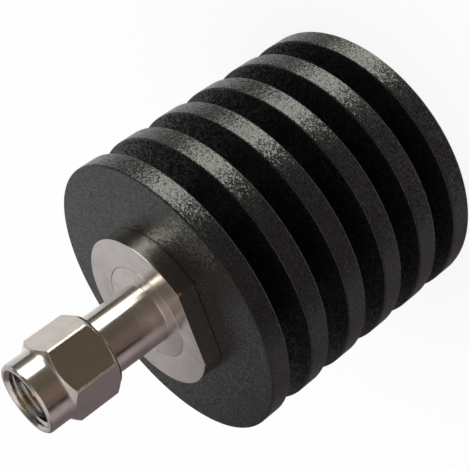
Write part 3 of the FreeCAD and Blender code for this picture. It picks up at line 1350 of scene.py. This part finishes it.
@dataclass
class Studio:
    """Pale floor, soft studio light and the camera at the photograph's angle."""

    floor_size: float = 6.0
    floor_tone: Colour = (0.16, 0.16, 0.16)
    floor_glow: float = 0.84
    floor_mottle: float = 0.985
    floor_roughness: float = 0.9
    paper_cloud: float = 40.0
    paper_grain: float = 0.8
    paper_grain_depth: float = 0.01
    backdrop: Colour = (0.965, 0.965, 0.965)
    ambient: Colour = (0.95, 0.95, 0.97)
    belt_blend: float = 0.06
    band_scale: ClassVar[float] = 8.0
    belts: ClassVar[tuple[Belt, ...]] = (
        Belt(-1.0, (Band(-180, (0.9, 0.9, 0.9)), Band(180, (0.9, 0.9, 0.9)))),
        Belt(-0.78, (
            Band(-180, (0.15, 0.125, 0.13)),
            Band(-166, (0.20, 0.17, 0.175)),
            Band(-150, (0.38, 0.34, 0.34)),
            Band(-135, (0.38, 0.33, 0.32)),
            Band(-125, (0.15, 0.11, 0.10)),
            Band(-122, (0.02, 0.014, 0.011)),
            Band(-115, (0.02, 0.014, 0.011)),
            Band(-111, (0.14, 0.095, 0.08)),
            Band(-104, (0.17, 0.11, 0.09)),
            Band(-101, (0.08, 0.05, 0.04)),
            Band(-98, (0.18, 0.115, 0.092)),
            Band(-70, (0.155, 0.115, 0.088)),
            Band(-54, (0.10, 0.082, 0.06)),
            Band(-22, (0.12, 0.11, 0.085)),
            Band(-12, (0.16, 0.15, 0.12)),
            Band(-4, (6.0, 5.95, 5.3)),
            Band(18, (6.0, 5.95, 5.3)),
            Band(29, (0.22, 0.20, 0.165)),
            Band(42, (0.15, 0.135, 0.115)),
            Band(49, (0.10, 0.09, 0.08)),
            Band(51, (0.02, 0.018, 0.015)),
            Band(56, (0.02, 0.018, 0.015)),
            Band(59, (0.66, 0.64, 0.62)),
            Band(90, (0.76, 0.75, 0.74)),
            Band(106, (0.95, 0.95, 0.95)),
            Band(114, (0.60, 0.59, 0.58)),
            Band(122, (0.36, 0.34, 0.34)),
            Band(136, (0.18, 0.15, 0.16)),
            Band(180, (0.15, 0.125, 0.13)),
        )),
        Belt(0.0, (
            Band(-180, (0.15, 0.125, 0.13)),
            Band(-150, (0.34, 0.30, 0.30)),
            Band(-136, (0.30, 0.26, 0.25)),
            Band(-118, (0.08, 0.06, 0.05)),
            Band(-90, (0.18, 0.115, 0.092)),
            Band(-54, (0.10, 0.082, 0.06)),
            Band(-8, (0.15, 0.14, 0.11)),
            Band(8, (0.30, 0.28, 0.22)),
            Band(16, (3.4, 3.36, 3.0)),
            Band(25, (3.4, 3.36, 3.0)),
            Band(33, (0.22, 0.20, 0.165)),
            Band(58, (0.16, 0.15, 0.13)),
            Band(96, (0.12, 0.11, 0.11)),
            Band(114, (0.20, 0.185, 0.185)),
            Band(130, (0.20, 0.185, 0.185)),
            Band(150, (0.13, 0.12, 0.12)),
            Band(180, (0.15, 0.125, 0.13)),
        )),
        Belt(0.62, (
            Band(-180, (0.45, 0.43, 0.42)),
            Band(-140, (0.66, 0.62, 0.60)),
            Band(-90, (0.85, 0.80, 0.75)),
            Band(-60, (0.55, 0.51, 0.46)),
            Band(-15, (0.20, 0.18, 0.16)),
            Band(39, (0.07, 0.07, 0.06)),
            Band(122, (0.20, 0.19, 0.19)),
            Band(180, (0.45, 0.43, 0.42)),
        )),
    )
    panel_distance: float = 120.0
    panel_size: tuple[float, float] = (220.0, 130.0)
    panel_shift: float = 60.0
    lens: float = 93.573
    sensor_width: float = 36.0
    clip: tuple[float, float] = (0.005, 20.0)
    camera_place: Triple = (0.059251, -0.092774, 0.075165)
    camera_right: Triple = (-0.297107, -0.629405, -0.718036)
    camera_up: Triple = (0.831371, 0.199339, -0.518736)
    camera_back: Triple = (0.469628, -0.751074, 0.464044)
    panel_stops: ClassVar[tuple[tuple[float, float], ...]] = (
        (-23.0, 0.0), (-14.0, 0.17), (0.0, 0.28), (20.0, 0.37), (60.0, 0.42),
    )

    def floor(self) -> None:
        """Lays the pale floor, which shows to the camera and lights the part softly from below."""
        mesh = bpy.data.meshes.new("studio_floor")
        shape = bmesh.new()
        bmesh.ops.create_grid(shape, x_segments=1, y_segments=1, size=self.floor_size / 2)
        shape.to_mesh(mesh)
        shape.free()
        sheet = NodeSheet("pale_paper")
        tone = sheet.range(sheet.noise(self.paper_cloud, detail=2.0), 0.0, 1.0)
        darker = tuple(self.floor_mottle * c for c in self.floor_tone)
        colour = sheet.blend(tone, self.floor_tone, darker)
        grain = sheet.raise_surface(sheet.noise(self.paper_grain), self.paper_grain_depth)
        sheet.dress(colour, self.floor_roughness, grain)
        sheet.shader.inputs["Specular IOR Level"].default_value = 0.0
        sheet.shader.inputs["Emission Color"].default_value = (1, 1, 1, 1)
        sheet.shader.inputs["Emission Strength"].default_value = self.floor_glow
        mesh.materials.append(sheet.material)
        floor = bpy.data.objects.new("studio_floor", mesh)
        bpy.context.scene.collection.objects.link(floor)
        floor.visible_glossy = False

    def ramp(self, sheet: NodeSheet, source: Socket, stops: Sequence[tuple[float, Colour]]) -> Socket:
        """Draws light as a ramp of colours.

        Args:
            sheet: The nodes that the ramp joins.
            source: Place on the ramp, from 0 to 1.
            stops: Places on the ramp and their colours.

        Returns:
            The ramp's colour.
        """
        node = sheet.add("ShaderNodeValToRGB")
        sheet.feed(node.inputs[0], source)
        marks = node.color_ramp.elements
        while len(marks) < len(stops):
            marks.new(0.5)
        for mark, (place, colour) in zip(marks, stops):
            mark.position = place
            mark.color = (*colour, 1.0)
        return node.outputs[0]

    def belt(self, sheet: NodeSheet, compass: Socket, bands: Sequence[Band]) -> Socket:
        """Draws one belt of the sky.

        Args:
            sheet: The sky's nodes.
            compass: Compass angle of the ray, from 0 to 1.
            bands: The belt's stops.

        Returns:
            The belt's colour, divided by band_scale.
        """
        dimmed = [tuple(c / self.band_scale for c in band.light) for band in bands]
        return self.ramp(sheet, compass, [((band.angle + 180) / 360, c) for band, c in zip(bands, dimmed)])

    def sky(self) -> None:
        """Builds the light: even for matt surfaces, softboxes and dark cloths for glossy ones."""
        world = bpy.data.worlds.new("studio_light")
        bpy.context.scene.world = world
        sheet = SkySheet(world)
        split = sheet.add("ShaderNodeSeparateXYZ")
        sheet.feed(split.inputs[0], sheet.place)
        angle = sheet.sum("ARCTAN2", split.outputs["Y"], split.outputs["X"])
        compass = sheet.sum("ADD", sheet.sum("DIVIDE", angle, math.tau), 0.5)
        shine = None
        for belt in self.belts:
            light = sheet.background(self.belt(sheet, compass, belt.bands), self.band_scale)
            if shine is None:
                shine = light
            else:
                low, high = belt.start - self.belt_blend, belt.start + self.belt_blend
                shine = sheet.choose(sheet.range(split.outputs["Z"], 0.0, 1.0, low, high), shine, light)
        ray = sheet.add("ShaderNodeLightPath").outputs
        matt = sheet.choose(ray["Is Diffuse Ray"], shine, sheet.background(self.ambient, 1.0))
        seen = sheet.choose(ray["Is Camera Ray"], matt, sheet.background(self.backdrop, 1.0))
        sheet.feed(sheet.add("ShaderNodeOutputWorld").inputs["Surface"], seen)
        world.cycles.sampling_method = "NONE"

    def panel_cloth(self) -> bpy.types.Material:
        """Makes the softbox's cloth, which glows, lets everything through and is brighter towards one side.

        Returns:
            The new material.
        """
        sheet = NodeSheet("softbox_cloth")
        split = sheet.add("ShaderNodeSeparateXYZ")
        sheet.feed(split.inputs[0], sheet.place)
        start, end = self.panel_stops[0][0], self.panel_stops[-1][0]
        across = sheet.sum("MULTIPLY_ADD", split.outputs["X"], 1 / ((end - start) * MM))
        across.node.inputs[2].default_value = -start / (end - start)
        glow = sheet.add("ShaderNodeEmission")
        stops = [((place - start) / (end - start), (light, light, light)) for place, light in self.panel_stops]
        sheet.feed(glow.inputs["Color"], self.ramp(sheet, across, stops))
        both = sheet.add("ShaderNodeAddShader")
        sheet.feed(both.inputs[0], glow.outputs[0])
        sheet.feed(both.inputs[1], sheet.add("ShaderNodeBsdfTransparent").outputs[0])
        output = next(n for n in sheet.tree.nodes if n.type == "OUTPUT_MATERIAL")
        sheet.feed(output.inputs["Surface"], both.outputs[0])
        return sheet.material

    def panel(self) -> None:
        """Hangs the near softbox where gloss on the upward faces mirrors it to the camera."""
        shape = bmesh.new()
        bmesh.ops.create_grid(shape, x_segments=1, y_segments=1, size=0.5)
        size = (self.panel_size[0] * MM, self.panel_size[1] * MM, 1.0)
        bmesh.ops.scale(shape, verts=shape.verts[:], vec=size)
        bmesh.ops.translate(shape, verts=shape.verts[:], vec=(self.panel_shift * MM, 0, 0))
        mesh = bpy.data.meshes.new("near_softbox")
        shape.to_mesh(mesh)
        shape.free()
        mesh.materials.append(self.panel_cloth())
        panel = bpy.data.objects.new("near_softbox", mesh)
        bpy.context.scene.collection.objects.link(panel)
        toward_x, toward_y, toward_z = self.camera_back
        mirror = Vector((-toward_x, -toward_y, toward_z))
        across = mirror.cross(Vector((0, 0, 1))).normalized()
        turn = Matrix((across, mirror.cross(across), mirror)).transposed().to_4x4()
        face = Vector((0, 0, span("mounting_flange").high))
        panel.matrix_world = Matrix.Translation((face + mirror * self.panel_distance) * MM) @ turn
        panel.visible_camera = False
        panel.visible_diffuse = False
        panel.visible_shadow = False

    def camera(self) -> None:
        """Sets the camera at the photograph's viewing angle."""
        data = bpy.data.cameras.new("photograph_camera")
        data.sensor_width = self.sensor_width
        data.lens = self.lens
        data.clip_start, data.clip_end = self.clip
        camera = bpy.data.objects.new("photograph_camera", data)
        bpy.context.scene.collection.objects.link(camera)
        turn = Matrix((self.camera_right, self.camera_up, self.camera_back)).transposed().to_4x4()
        camera.matrix_world = Matrix.Translation(self.camera_place) @ turn
        bpy.context.scene.camera = camera

    def build(self) -> None:
        """Sets up the floor, the light and the camera."""
        self.floor()
        self.sky()
        self.panel()
        self.camera()
        bpy.context.scene.view_settings.view_transform = "Standard"


def main() -> None:
    """Builds the studio and every piece."""
    logging.basicConfig(level=logging.INFO, format="%(message)s")
    Studio().build()
    for maker in (
        HeatSink(), MountingFlange(), PlugShell(), CouplingNut(), RetainingRing(), Gasket(), FrontInsulator(),
        CentreContact(), InnerLoad(),
    ):
        maker.build()


if __name__ == "__main__":
    main()
